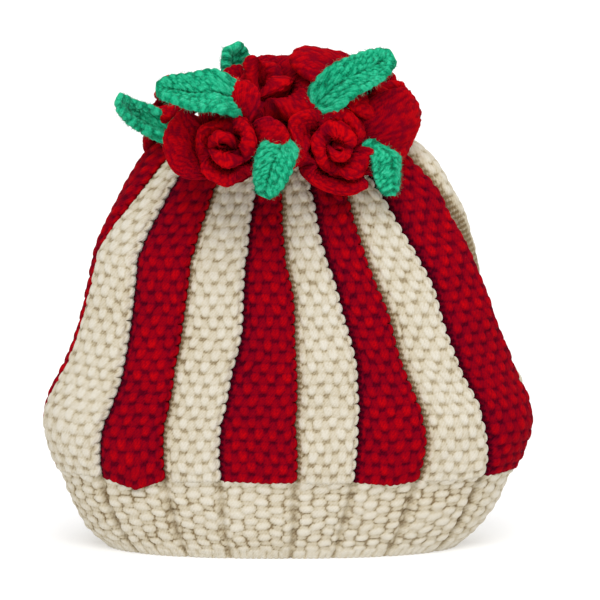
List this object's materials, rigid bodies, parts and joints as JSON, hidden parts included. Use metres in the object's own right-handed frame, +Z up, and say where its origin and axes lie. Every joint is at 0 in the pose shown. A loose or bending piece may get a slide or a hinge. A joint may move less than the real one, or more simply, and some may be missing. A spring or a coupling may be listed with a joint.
{
  "type": "tea cosy",
  "caption": "Hand-knitted striped tea cosy with side slots for a pot's spout and handle, gathered under crocheted roses and leaves.",
  "frame": {"origin": "below the middle of the whole cosy's box, in the plane that the hem stands on", "axes": "+Z up from hem to crown; -Y out of the front half, where the two lowest roses are; -X out of the spout slot and +X out of the handle slot"},
  "size_m": [0.2488, 0.13, 0.2598],
  "materials": {
    "cream_wool": "matt chunky knitted wool in cream, with red stripes",
    "red_wool": "matt fuzzy crocheted wool in red",
    "green_wool": "matt fuzzy crocheted wool in green"
  },
  "bodies": {
    "root": {"front_half": "cream_wool", "back_half": "cream_wool", "rose_left": "red_wool", "rose_right": "red_wool", "rose_top": "red_wool", "rose_far_left": "red_wool", "rose_far_right": "red_wool", "leaf_left": "green_wool", "leaf_far_left": "green_wool", "leaf_front": "green_wool", "leaf_right": "green_wool", "leaf_top_right": "green_wool", "leaf_back_right": "green_wool", "leaf_back_left": "green_wool"}
  },
  "joints": []
}
